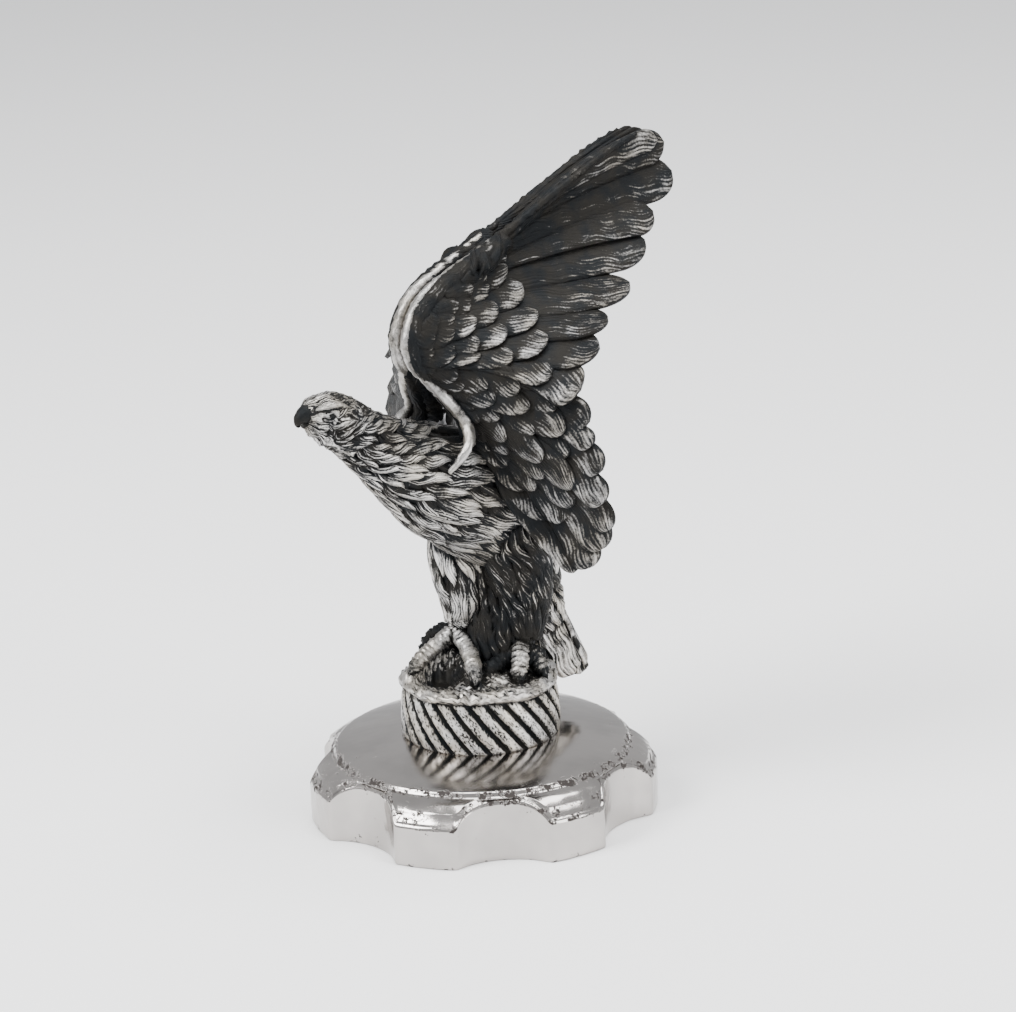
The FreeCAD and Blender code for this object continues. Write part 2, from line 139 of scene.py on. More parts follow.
def bored_faces(rows, columns):
    """Quads of a wrapped grid whose last row also joins its first, as down a bore."""
    first = np.arange(columns)
    last = first + (rows - 1) * columns
    bore = np.stack([last, np.roll(last, -1), np.roll(first, -1), first], -1)
    return np.concatenate([grid_faces(rows, columns, True), bore])


def rim_of(rows, columns):
    """Indices round the edge of a grid, in order."""
    top = np.arange(columns)
    right = np.arange(1, rows) * columns + columns - 1
    bottom = (rows - 1) * columns + np.arange(columns - 2, -1, -1)
    left = np.arange(rows - 2, 0, -1) * columns
    return np.concatenate([top, right, bottom, left])


def slab(cast, top, bottom, line, polish, under=0.0):
    """Closed shell between two grids of the same size; under is how much less polished the bottom is."""
    rows, columns = top.shape[:2]
    size = rows * columns
    faces = grid_faces(rows, columns)
    rim = rim_of(rows, columns)
    after = np.roll(rim, -1)
    wall = np.stack([rim, after, after + size, rim + size], -1)
    cast.add(np.concatenate([top.reshape(-1, 3), bottom.reshape(-1, 3)]),
             np.concatenate([faces[:, ::-1], faces + size, wall]),
             np.concatenate([line.ravel()] * 2), np.concatenate([polish.ravel(), polish.ravel() - under]))


def tube(cast, grid, line, polish, end_polish):
    """Closed shell along rings of points, with a fan to the middle of the first ring and of the last."""
    rows, columns = grid.shape[:2]
    size = rows * columns
    ring = np.arange(columns)
    after = np.roll(ring, -1)
    first_middle, last_middle = np.full(columns, size), np.full(columns, size + 1)
    last_ring = size - columns
    cast.add(np.concatenate([grid.reshape(-1, 3), [grid[0].mean(0), grid[-1].mean(0)]]),
             np.concatenate([grid_faces(rows, columns, True),
                             np.stack([ring, after, first_middle, first_middle], -1),
                             np.stack([after + last_ring, ring + last_ring, last_middle, last_middle], -1)]),
             line, np.append(polish, end_polish))


def feather(cast, spine, side, up, half, crown=0.35, shaft=0.2, shaft_at=0.0, thick=0.5, tilt=0.0, columns=9,
            pitch=1.0, skew=0.0, root_polish=0.3, polish=0.5, bright_from=0.25, edge_shine=0.1, under=0.0):
    """Closed feather along spine. side and up are its frame and half its half width, all per spine point.

    pitch is the distance between its barbs and skew how far they lean. Its polish sets in at bright_from.
    """
    u = np.linspace(-1, 1, columns)
    step = np.linalg.norm(np.diff(spine, axis=0), axis=1)
    run = np.concatenate([[0], np.cumsum(step)])[:, None]
    v = run / run[-1]
    half = np.asarray(half, float)[:, None]
    body = 1 - u ** 2
    ridge = np.exp(-((u - shaft_at) / 0.16) ** 2) * (1 - smooth(0.75, 1.0, v))
    ripple = 0.05 * np.sin(TURN * run / 1.9 + 5 * np.abs(u) + rng.uniform(0, TURN)) * body
    lift = tilt * u * half + ripple
    top = lift + crown * body + shaft * ridge + thick * 0.5
    low = lift - crown * 0.6 * body - shaft * 0.5 * ridge - thick * 0.5
    flat = spine[:, None, :] + side[:, None, :] * (half * u)[..., None]
    wobble = 0.4 * np.sin(run / 1.3 + rng.uniform(0, TURN))
    across = half.max() * u * (0.55 + 0.45 * half / half.max())
    line = (across + skew * run + wobble) / pitch + rng.uniform(0, 1)
    shine = root_polish + (polish - root_polish) * smooth(bright_from, 0.97, v + 0.12 * u)
    shine = shine + edge_shine * (np.abs(u) - 0.5)
    up = up[:, None, :]
    slab(cast, flat + up * top[..., None], flat + up * low[..., None], line, shine, under)


def toward_tip(rows):
    """Shares of a feather's length for its rows, closer together near the tip."""
    return 1 - (1 - np.linspace(0, 1, rows)) ** 1.5


def plume_width(width, length, v, root=0.45, blunt=0.55, point=0.5):
    """Half width along a feather: narrow at the root, full, then a tip, sharper for a larger point."""
    start = 1 - min(0.75, blunt * width / length)
    swell = root + (1 - root) * smooth(0, 0.5, v)
    tip = np.clip(1 - (np.clip(v - start, 0, 1) / (1 - start)) ** 2, 0.0004, 1) ** point
    return 0.5 * width * swell * tip


class Limb:
    """Round limb along a smooth centre line; stations are x, y, z and radius."""

    def __init__(self, stations, overhead=(0, -0.35, 1)):
        self.stations = np.asarray(stations, float)
        self.last = len(stations) - 1
        self.overhead = np.asarray(overhead, float)
        self.shares = np.linspace(0, self.last, 200)
        fine = curve(self.stations, self.shares)
        self.run = np.concatenate([[0], np.cumsum(np.linalg.norm(np.diff(fine[:, :3], axis=0), axis=1))])
        self.length = self.run[-1]

    def station_at(self, distance):
        return np.interp(distance, self.run, self.shares)

    def radius_at(self, distance):
        return curve(self.stations, self.station_at(distance))[3]

    def at(self, distance, turn):
        """Point, outward normal and direction of travel at a distance along and a turn from overhead."""
        x = self.station_at(np.asarray(distance, float))
        here = curve(self.stations, x)
        travel = unit(curve(self.stations, np.minimum(x + 0.05, self.last))[..., :3]
                      - curve(self.stations, np.maximum(x - 0.05, 0))[..., :3])
        across = unit(np.cross(travel, self.overhead))
        above = np.cross(across, travel)
        turn = np.asarray(turn, float)[..., None]
        outward = np.cos(turn) * above + np.sin(turn) * across
        return here[..., :3] + here[..., 3:4] * outward, unit(outward), travel

    def grid(self, rows, columns):
        """Distances and turns of a grid of points over the whole limb."""
        return np.meshgrid(np.linspace(0, self.length, rows), turns(columns), indexing="ij")

    def skin(self, cast, rows=40, columns=36, rough=0.0, polish=0.3, strands=0.0):
        """Surface of the limb with strands lines per radian along it; polish may vary row by row."""
        distance, turn = self.grid(rows, columns)
        point, normal, _ = self.at(distance, turn)
        point = point + normal * (rough * lumps(point, 3.0))[..., None]
        line = 0.0
        if strands:
            wave = 0.5 * np.sin(distance / 1.3) + 0.8 * lumps(point, 7.0)
            from_seam = np.abs((turn + 0.8) % (2 * math.pi) - math.pi)
            line = np.append(strands * from_seam + wave, [0, 0])
        polish = np.broadcast_to(np.reshape(polish, (-1, 1)), turn.shape)
        tube(cast, point, line, polish, polish[[0, -1], 0])

    def tuft(self, cast, distance, turn, length, width, sway=0.0, bend=0.0, raised=0.6, **look):
        """A feather lying on the limb, starting at distance and turn and running along it."""
        v = toward_tip(13)
        drift = (sway * v + bend * np.sin(1.6 * math.pi * v)) / max(self.radius_at(distance), 1.0)
        along = np.clip(distance + v * length, 0, self.length - 0.01)
        place, normal, _ = self.at(along, turn + drift)
        heading = unit(np.gradient(place, axis=0))
        side = unit(np.cross(heading, normal))
        lift = raised * smooth(0, 0.7, v) - 0.5 * raised * smooth(0.75, 1, v) - 0.25
        feather(cast, place + normal * lift[:, None], side, unit(np.cross(side, heading)),
                plume_width(width, length, v, root=0.35, blunt=2.0, point=0.8), columns=7, **look)


def ball(cast, centre, radii, polish):
    lat, lon = np.meshgrid(np.linspace(0.02, math.pi - 0.02, 14), turns(20), indexing="ij")
    shape = np.stack([np.sin(lat) * np.cos(lon), np.sin(lat) * np.sin(lon), np.cos(lat)], -1)
    point = np.asarray(centre, float) + shape * np.asarray(radii, float)
    tube(cast, point, 0.0, np.full(lat.size, polish), [polish, polish])


def build(cast, name, body, nodes, material):
    """Turns a casting into a Blender piece that rides on a CAD body and stands for CAD nodes."""
    points = np.concatenate(cast.points) * MM
    faces = np.concatenate(cast.faces)
    mesh = bpy.data.meshes.new(name)
    mesh.from_pydata(points.tolist(), [], [[*dict.fromkeys(f)] for f in faces.tolist()])
    for label, values in (("line", cast.lines), ("polish", cast.polish)):
        store(mesh, label, np.concatenate(values))
    mesh.polygons.foreach_set("use_smooth", np.ones(len(mesh.polygons), bool))
    work = bmesh.new()
    work.from_mesh(mesh)
    bmesh.ops.recalc_face_normals(work, faces=work.faces)
    work.to_mesh(mesh)
    work.free()
    piece = bpy.data.objects.new(name, mesh)
    bpy.context.scene.collection.objects.link(piece)
    mesh.materials.append(material)
    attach(piece, body)
    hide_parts(*nodes)
    return piece


def store(mesh, label, values):
    """Gives a mesh one number per vertex, which a material reads by its label."""
    mesh.attributes.new(label, "FLOAT", "POINT").data.foreach_set("value", np.asarray(values, np.float32))


# ---------------------------------------------------------------- materials

class Nodes:
    """Small helper that adds shader nodes and links plain values or sockets to them."""

    def __init__(self, name):
        self.material = bpy.data.materials.new(name)
        self.material.use_nodes = True
        self.tree = self.material.node_tree
        self.tree.nodes.clear()
        self.space = self.node("ShaderNodeTexCoord").outputs["Object"]

    def node(self, kind, inputs=None, **settings):
        made = self.tree.nodes.new(kind)
        for key, value in settings.items():
            setattr(made, key, value)
        for key, value in (inputs or {}).items():
            self.put(made.inputs[key], value)
        return made

    def put(self, socket, value):
        if isinstance(value, bpy.types.NodeSocket):
            self.tree.links.new(value, socket)
        else:
            socket.default_value = value

    def math(self, operation, a, b=0.0, c=0.0):
        return self.node("ShaderNodeMath", {0: a, 1: b, 2: c}, operation=operation).outputs[0]

    def noise(self, scale, detail=3.0, rough=0.55, space=None):
        return self.node("ShaderNodeTexNoise", {
            "Vector": space or self.space, "Scale": scale, "Detail": detail, "Roughness": rough}).outputs[0]

    def value(self, label):
        return self.node("ShaderNodeAttribute", attribute_name=label).outputs["Fac"]

    def remap(self, value, low, high, to_low=0.0, to_high=1.0):
        inputs = {"Value": value, "From Min": low, "From Max": high, "To Min": to_low, "To Max": to_high}
        return self.node("ShaderNodeMapRange", inputs, interpolation_type="SMOOTHSTEP").outputs[0]

    def blend(self, share, a, b):
        made = self.node("ShaderNodeMix", data_type="RGBA")
        for socket, value in ((made.inputs[0], share), (made.inputs[6], a), (made.inputs[7], b)):
            self.put(socket, value)
        return made.outputs[2]

    def bump(self, height, distance, strength):
        inputs = {"Height": height, "Distance": distance, "Strength": strength}
        return self.node("ShaderNodeBump", inputs).outputs[0]

    def surface(self, **inputs):
        names = {"color": "Base Color", "metallic": "Metallic", "roughness": "Roughness", "normal": "Normal",
                 "specular": "Specular IOR Level"}
        shader = self.node("ShaderNodeBsdfPrincipled", {names[key]: value for key, value in inputs.items()})
        self.node("ShaderNodeOutputMaterial", {"Surface": shader.outputs[0]})
        return self.material


COLD_PATINA, WARM_PATINA = (0.009, 0.010, 0.011, 1), (0.015, 0.014, 0.0125, 1)
WARM_SILVER, COLD_SILVER = (0.50, 0.465, 0.41), (0.62, 0.605, 0.59)
NICKEL, HAZY_NICKEL, PIT = (0.46, 0.435, 0.415, 1), (0.38, 0.36, 0.345, 1), (0.016, 0.011, 0.009, 1)


def antique_silver(name, grooves=1.0, base_shine=0.0, lightest=1.0):
    """Silvered casting: bright where it is polished and open, black patina in grooves and recesses."""
    n = Nodes(name)
    fine = n.noise(2600, 4, 0.65)
    broad = n.noise(330, 3)
    line = n.value("line")
    place = n.node("ShaderNodeSeparateXYZ", {"Vector": n.space}).outputs
    along = n.node("ShaderNodeCombineXYZ", {
        "X": n.math("MULTIPLY", line, 1.25), "Y": n.math("MULTIPLY", place[0], 190.0),
        "Z": n.math("MULTIPLY", place[2], 190.0)}).outputs[0]
    barbs = n.math("MULTIPLY", n.math("SUBTRACT", n.noise(1.0, 3, 0.6, along), 0.5), 4.4)
    wave = n.math("SINE", n.math("MULTIPLY_ADD", line, 6.2832, n.math("MULTIPLY", n.noise(300, 2), 9.0)))
    groove = n.math("MULTIPLY_ADD", wave, 0.35, n.math("MULTIPLY", barbs, 0.9))
    shine = n.math("ADD", n.value("polish"), base_shine - 1.02)
    shine = n.math("MULTIPLY_ADD", n.value("open"), 0.75, shine)
    shine = n.math("MULTIPLY_ADD", groove, 0.26 * grooves, shine)
    for grain in (fine, broad):
        shine = n.math("MULTIPLY_ADD", n.math("SUBTRACT", grain, 0.5), 0.6, shine)
    bright = n.remap(shine, 0.0, 0.55)
    dark = n.blend(n.remap(n.noise(210, 2), 0.35, 0.65), COLD_PATINA, WARM_PATINA)
    warm, cold = ([lightest * c for c in tone] + [1] for tone in (WARM_SILVER, COLD_SILVER))
    light = n.blend(n.remap(n.noise(120, 2), 0.35, 0.65), warm, cold)
    height = n.math("MULTIPLY_ADD", groove, 0.45 * min(grooves, 1.0), n.math("MULTIPLY", fine, 0.5))
    return n.surface(color=n.blend(bright, dark, light), metallic=n.remap(bright, 0, 1, 0.3, 1.0),
                     specular=0.06, roughness=n.remap(bright, 0, 1, 0.5, 0.34),
                     normal=n.bump(height, 0.0002, 0.9))


def nickel():
    """Worn nickel plate with dark pits, most of them along the worn edges."""
    n = Nodes("worn_nickel")
    worn = n.value("polish")
    cell = n.noise(1500, 5, 0.7)
    flake = n.noise(420, 4, 0.65)
    depth = n.math("MULTIPLY_ADD", flake, 0.62, n.math("MULTIPLY", cell, 0.5))
    pit = n.remap(n.math("MULTIPLY_ADD", worn, 0.165, depth), 0.725, 0.75)
    plate = n.blend(n.remap(n.noise(60, 3), 0.35, 0.7), NICKEL, HAZY_NICKEL)
    height = n.math("MULTIPLY_ADD", pit, -0.6, n.math("MULTIPLY", n.noise(3200, 3), 0.12))
    return n.surface(color=n.blend(pit, plate, PIT), metallic=n.remap(pit, 0, 1, 1.0, 0.1),
                     roughness=n.remap(pit, 0, 1, 0.15, 0.7), normal=n.bump(height, 0.0001, 0.7))


def plain(name, color, metallic, roughness, grain):
    """One colour with darker stains and a fine grain."""
    n = Nodes(name)
    stain = n.remap(n.noise(300, 4), 0.3, 0.7)
    dark = tuple(0.55 * c for c in color) + (1,)
    return n.surface(color=n.blend(stain, color + (1,), dark), metallic=metallic,
                     roughness=n.remap(stain, 0, 1, roughness, min(roughness + 0.2, 0.95)),
                     normal=n.bump(n.noise(grain, 3), 0.00008, 0.5))


# ---------------------------------------------------------------- wings

# Centre line of the wing's arm, from the shoulder to the hand.
ARM = np.array([(5, -4.5, 80.5), (4.9, -4, 88), (4.2, -9, 96), (3.8, -14.2, 104), (3.5, -13, 112),
                (3.3, -4.5, 118), (3.2, 8, 122.5), (3.2, 20, 128)], float)
# Feather tips: an edging strip, then the flight feathers from the longest primary inwards.
TIPS = np.array([(3, 50, 141.5), (3.2, 55.3, 138.6), (5, 55, 132), (8.5, 46, 125), (11.5, 41.5, 120),
                 (18, 31, 113.5), (23, 20, 109), (27, 13.5, 105), (30, 5.5, 98), (32, 6, 91),
                 (33.5, 5.5, 86.5), (35, 6, 81.5), (36, 6, 74.5), (35, 8.5, 68), (32.5, 8.5, 63.5),
                 (29, 8, 58.5), (25, 7, 57)], float)
FLIGHT = 16
PRIMARIES = 7
# How far the two longest covert rows reach along the flight feathers, for feathers 0 to 15.
GREATER = [.18, .23, .30, .39, .52, .64, .73, .79, .80, .79, .78, .77, .76, .74, .70, .66]
MEDIAN = [.09, .12, .18, .25, .35, .45, .52, .57, .59, .59, .58, .57, .56, .54, .50, .45]
# Leading edge, from the shoulder up round the wrist and out along the first primary: x, y, z and radius.
RIM = np.array([(10.6, -14.6, 80.6, .5), (12.0, -10.4, 85.6, 1.1), (9.2, -8.4, 89.8, 1.3),
                (6.6, -11.2, 95.2, 1.4), (3.4, -13.8, 99.8, 1.5), (2.1, -16.4, 103.6, 1.5),
                (1.8, -16.8, 109, 1.5), (1.8, -13.0, 115.6, 1.4), (2.0, -5.8, 119.6, 1.2),
                (2.3, 8.4, 125.4, 1.0), (2.6, 22, 131.6, .8), (2.9, 37, 138.2, .6),
                (3.0, 47, 141.4, .4)], float)
# The share of a feather's length, before its root, that brings a covert to the leading edge.
EDGE_SHARE = 0.1
FLIGHT_LOOK = dict(widest=12.0, crown=0.45, thick=0.9, shaft=0.3, shaft_at=-0.3, skew=-0.3, pitch=1.0,
                   root_polish=0.16, bright_from=0.45, edge_shine=0.15, under=0.5)
COVERT_LOOK = dict(overlap=1.85, widest=11.5, root=0.7, blunt=0.9, crown=0.6, thick=0.5, tilt=0.2,
                   pitch=0.85, root_polish=0.06, bright_from=0.3, edge_shine=0.2)


def rim_at(f):
    return curve(RIM[:, :3], np.interp(f, [-1, 0, 6, 7, 15], [9.0, 8.2, 5.8, 5.3, 1.2]))


def wing_root(f):
    return curve(ARM, np.interp(f, [-1, 0, 6, 7, 15], [6.2, 5.4, 3.2, 3.0, 0.8]))


def wing_tip(f):
    return curve(TIPS, np.asarray(f) + 1)


def wing_point(f, t):
    """Point on the wing's surface at feather number f, a share t of the way out to the tip."""
    f, t = np.broadcast_arrays(np.asarray(f, float), np.asarray(t, float))
    root, tip = wing_root(f), wing_tip(f)
    chord = unit(tip - root)
    lower = 0.5 * (wing_root(f + 0.2) + wing_tip(f + 0.2) - root - tip)
    lower = unit(lower - (lower * chord).sum(-1, keepdims=True) * chord)
    arch = np.where(t > 0, 4 * t * (1 - t), 0.0)[..., None]
    before_root = np.clip(-t / EDGE_SHARE, 0, 1)[..., None]
    bow = np.interp(f, [-1, 0, 3, 6, 7, 11, 15], [3.0, 3.0, 2.0, 0.5, 1.2, 1.5, 1.0])[..., None]
    bulge = arch * (lower * bow + np.cross(lower, chord) * 2.0)
    return root + (tip - root) * np.maximum(t, 0)[..., None] - bulge + (rim_at(f) - root) * before_root


def wing_feather(cast, f, start, end, face=1, low=0.0, high=0.0, overlap=1.35, widest=10.5, narrowest=4.0,
                 root=0.5, blunt=0.5, **look):
    """Feather number f from share start to share end; face -1 lays it on the wing's other side."""
    length = np.linalg.norm(wing_point(f, end) - wing_point(f, start))
    rows = max(12, int(length / 1.1))
    v = toward_tip(rows)
    t = start + (end - start) * v
    spine = wing_point(f, t)
    along = unit(np.gradient(spine, axis=0))
    spread = (wing_point(f + 0.3, t) - wing_point(f - 0.3, t)) / 0.6
    spread = spread - (spread * along).sum(-1, keepdims=True) * along
    gap = np.linalg.norm(spread, axis=1)
    side = unit(spread) * face
    up = np.cross(side, along)
    spine = spine + up * (low + (high - low) * v ** 0.8)[:, None]
    width = np.clip(gap * overlap, narrowest, widest)
    half = width * plume_width(1.0, length / width.mean(), v, root, blunt)
    feather(cast, spine, side, up, half, **look)


def covert_row(cast, reach, picks, length, face, low, high, **look):
    for f in picks:
        end = float(np.interp(f, np.arange(FLIGHT), reach)) * rng.uniform(0.97, 1.03)
        span = np.linalg.norm(wing_tip(f) - wing_root(f))
        start = max(end - length / span, -0.03 * smooth(2.5, 5, f))
        wing_feather(cast, f, start, end, face, low, high * rng.uniform(0.9, 1.1), shaft_at=-0.4 * face,
                     skew=-0.35 * face, **look)


def build_wing():
    """The left wing; its last shell is the leading edge."""
    cast = Casting()
    wing_feather(cast, -0.35, 0.12, 0.97, low=0.3, high=0.6, overlap=1.2, crown=0.8, thick=0.9, tilt=0.1,
                 skew=-0.2, pitch=0.9, root_polish=0.25)
    for f in range(FLIGHT):
        if f < PRIMARIES:
            shape = dict(overlap=1.5, tilt=0.14, blunt=0.8, polish=0.34)
        else:
            shape = dict(overlap=1.6, tilt=0.2, blunt=0.6, polish=0.44)
        wing_feather(cast, f, 0, rng.uniform(0.985, 1.0), **shape, **FLIGHT_LOOK)
    # Share of the reach, reach, feather numbers, length, height at root and tip, polish and least width.
    rows = [(1.0, GREATER, np.arange(0, 16, 1.15), 19, 0.2, 1.2, 0.5, 7.0),
            (1.0, MEDIAN, np.arange(0.5, 15.6, 1.2), 16, 0.8, 1.9, 0.5, 6.6),
            (0.62, MEDIAN, np.arange(0, 15.3, 1.15), 14, 1.1, 2.3, 0.48, 5.6),
            (0.34, MEDIAN, np.arange(3.2, 15.2, 0.9), 10, 1.1, 2.4, 0.44, 4.2),
            (0.1, MEDIAN, np.arange(4, 15.2, 0.5), 7, 0.8, 2.0, 0.36, 2.4)]
    for face in (1, -1):
        for share, reach, picks, length, low, high, polish, narrowest in rows:
            reach = [share * far for far in reach]
            covert_row(cast, reach, picks, length, face, low, high, narrowest=narrowest,
                       polish=polish - 0.7 * (face < 0), **COVERT_LOOK)
    filling = [(*(0.5 * (rim_at(f) + wing_root(f))), 2.2) for f in np.linspace(-1, 15, 12)]
    Limb(filling, overhead=(1, 0, 0)).skin(cast, 60, 16, rough=0.2, polish=0.25, strands=2.5)
    rows = 160
    worn = 0.75 - 0.47 * smooth(0.56, 0.66, np.linspace(0, 1, rows))
    Limb(RIM, overhead=(1, 0, 0)).skin(cast, rows, 16, rough=0.22, polish=worn)
    return cast


# ---------------------------------------------------------------- body, head, legs and tail

NECK_TO_RUMP = [(0, -38.5, 95.2, 3.6), (0, -32.5, 92, 4.7), (0, -26.6, 87.6, 6.0), (0, -18.7, 81.9, 8.3),
                (0, -10, 76.2, 11.0), (0, 0, 68.9, 11.2), (0, 10, 59.5, 9.6), (0, 15, 49, 6.2)]
LEFT_THIGH = [(5.5, 4, 65, 6.6), (6.6, 7, 54, 6.0), (7.2, 7.6, 46, 4.6), (8.0, 6.6, 39, 2.7)]
RIGHT_THIGH = [(-4.5, 0.5, 66, 6.4), (-5.0, 1, 55, 6.6), (-4.6, 1.2, 47.5, 5.6), (-5.0, -0.2, 41.5, 2.9)]
BELLY = [(1, 6, 63, 7.2), (1.5, 8, 52, 6.2), (1.5, 6, 42, 6.4), (1.5, 4.2, 33.5, 6.8)]
RUMP = [(0, 8, 60, 8.6), (0, 14.5, 47, 6.4), (0, 17.5, 37, 4.6)]
SKULL = [(0, -27.5, 88.8, 4.5), (0, -31.5, 92.6, 5.0), (0, -35.5, 95.3, 4.8), (0, -38.5, 96.5, 4.3),
         (0, -41.3, 97.0, 3.2), (0, -43.0, 97.0, 2.1)]
THROAT = [(0, -43.2, 95.4, 1.0), (0, -41.0, 94.4, 2.2), (0, -37.0, 92.4, 3.4), (0, -32.0, 89.8, 4.4)]
NAPE = [(0, -41.5, 97.0, 2.9), (0, -38.5, 96.4, 4.1), (0, -35.5, 95.2, 4.6), (0, -31.5, 92.4, 4.8),
        (0, -27, 88.8, 4.9)]
UPPER_BEAK = [(0, -41.0, 97.4, 2.3), (0, -42.9, 97.2, 1.95), (0, -44.3, 96.6, 1.4), (0, -44.9, 95.7, 0.85),
              (0, -44.7, 94.9, 0.3)]
LOWER_BEAK = [(0, -39.8, 95.2, 1.7), (0, -42.0, 95.2, 1.3), (0, -43.6, 95.1, 0.6)]
# Tail feathers: root, tip, width and the way the face looks.
TAIL = [((0, 14, 60), (0, 29.0, 23.6), 6.5, (0, 1, 0.4))]
for flank in (1, -1):
    TAIL.append(((flank * 2.0, 12.5, 58), (flank * 1.2, 28.8, 23.8), 6.2, (flank, 0.35, 0.15)))
    TAIL.append(((flank * 3.6, 9.5, 57), (flank * 4.4, 22.6, 25.2), 6.2, (flank, -0.3, 0.1)))
# Distances along a limb at which its tufts' lengths and widths are given.
TUFT_STEPS = (0, 10, 22, 36, 60)


def tuft_rows(cast, limb, start, stop, lengths, widths, polish, **look):
    """Staggered, shingled rows of tufts; lengths and widths are one number or one per tuft step."""
    distance, row = start, 0
    while distance < stop:
        length, width = (np.interp(distance, TUFT_STEPS, np.broadcast_to(sizes, len(TUFT_STEPS)))
                         for sizes in (lengths, widths))
        count = max(4, int(round(2 * math.pi * limb.radius_at(distance) / (width * 0.72))))
        for k in range(count):
            turn = (k + 0.5 * (row % 2) + rng.uniform(-0.25, 0.25)) * (2 * math.pi / count)
            limb.tuft(cast, distance + rng.uniform(-0.2, 0.2) * length, turn,
                      length * rng.uniform(0.85, 1.2), width * rng.uniform(0.85, 1.15),
                      sway=rng.uniform(-1.8, 1.8), bend=rng.uniform(0.4, 1.5), pitch=0.62,
                      polish=polish + rng.uniform(-0.08, 0.08), **look)
        distance += 0.5 * length
        row += 1


def build_head(cast):
    Limb(SKULL).skin(cast, 60, 64, rough=0.2, polish=0.4, strands=5)
    Limb(THROAT).skin(cast, 50, 48, rough=0.3, polish=0.42, strands=4)
    Limb(UPPER_BEAK).skin(cast, 30, 20, rough=0.03, polish=0.1)
    Limb(LOWER_BEAK).skin(cast, 16, 16)
    for sign in (1, -1):
        brow = [(sign * 2.2, -42.0, 98.3, 0.4), (sign * 3.0, -39.8, 98.8, 0.8),
                (sign * 3.5, -36.6, 98.4, 0.8), (sign * 3.7, -33.6, 96.8, 0.4)]
        Limb(brow).skin(cast, 24, 12, rough=0.1, polish=0.55, strands=3)
        ball(cast, (sign * 3.5, -39.0, 97.0), (0.8, 1.0, 0.8), polish=0.3)
        lower_lid = [(sign * 3.2, -41.0, 96.4, 0.3), (sign * 3.9, -39.2, 95.9, 0.4),
                     (sign * 4.1, -37.2, 96.4, 0.35)]
        Limb(lower_lid).skin(cast, 16, 8, polish=0.6)


def tail_feather(cast, root, tip, width, outward):
    root, tip = np.array(root, float), np.array(tip, float)
    v = toward_tip(44)[:, None]
    sag = np.array([0, -2.8, 0]) * v * (1 - v)
    spine = root + (tip - root) * v + sag
    along = unit(np.gradient(spine, axis=0))
    side = unit(np.cross(along, outward))
    feather(cast, spine, side, np.cross(side, along), plume_width(width, 40, v[:, 0], 0.6, 0.3), crown=0.5,
            shaft=0.4, thick=1.0, pitch=0.9)


def build_body():
    cast = Casting()
    trunk = Limb(NECK_TO_RUMP)
    trunk.skin(cast, 90, 64, rough=0.35, polish=0.2)
    build_head(cast)
    tuft_rows(cast, trunk, 1.0, trunk.length - 13, (4.5, 8.0, 12.0, 14.0, 14.0), (1.6, 2.3, 2.9, 3.4, 3.4),
              polish=0.6, crown=0.45, shaft=0.1, raised=0.6, thick=0.4)
    nape = Limb(NAPE)
    tuft_rows(cast, nape, 2.0, nape.length - 4, 6.0, 1.7, polish=0.52, crown=0.25, shaft=0.05, raised=0.25,
              thick=0.3)
    for stations, polish, length, width in ((LEFT_THIGH, 0.08, 12.0, 2.2), (RIGHT_THIGH, 0.68, 16.0, 3.2),
                                            (BELLY, 0.04, 9.0, 1.8)):
        leg = Limb(stations, overhead=(0, -1, 0))
        leg.skin(cast, 40, 40, rough=0.3, polish=0.1)
        tuft_rows(cast, leg, 0.0, leg.length - 0.5 * length, length, width, polish=polish, crown=0.55,
                  shaft=0.1, raised=0.6, thick=0.4)
    rump = Limb(RUMP)
    rump.skin(cast, 30, 40, rough=0.3, polish=0.2)
    tuft_rows(cast, rump, 0.0, rump.length - 8, 10.0, 2.8, polish=0.56, crown=0.6, shaft=0.15, raised=0.7,
              thick=0.5)
    for root, tip, width, outward in TAIL:
        tail_feather(cast, root, tip, width, outward)
    return cast


# ---------------------------------------------------------------- rock and feet

ROCK_FOOT = 28.2
ROCK_TOP = 31.0
# Toes: the points along each one and how polished it is.
LEFT_TOES = [([(8.2, 5.0, 37.6), (10.4, 3.0, 36.2), (12.0, 1.4, 34.2), (12.8, 0.4, 32.8)], 0.55),
             ([(8.2, 5.0, 36.6), (7.4, 0.8, 34.8), (7.2, -2.6, 33.4)], 0.2),
             ([(8.2, 5.0, 36.6), (11.6, 6.4, 34.0), (13.0, 6.6, 32.6)], 0.35),
             ([(8.2, 5.0, 36.6), (7.0, 9.4, 34.0), (6.2, 12.0, 32.6)], 0.2)]
RIGHT_TOES = [([(-5.4, -1.4, 39.0), (-6.2, -4.6, 37.2), (-7.2, -9.0, 34.6), (-7.0, -12.4, 32.4)], 0.6),
              ([(-5.4, -1.4, 39.0), (0.4, -3.4, 37.0), (4.8, -5.6, 34.8), (7.8, -7.4, 33.0)], 0.6),
              ([(-5.8, -1.4, 38.4), (-8.6, -2.6, 38.2), (-10.4, -4.2, 36.6), (-10.2, -6.4, 34.2)], 0.1),
              ([(-5.4, -1.4, 38.6), (-5.4, 4.4, 36.2), (-5.6, 8.0, 34.0)], 0.3)]


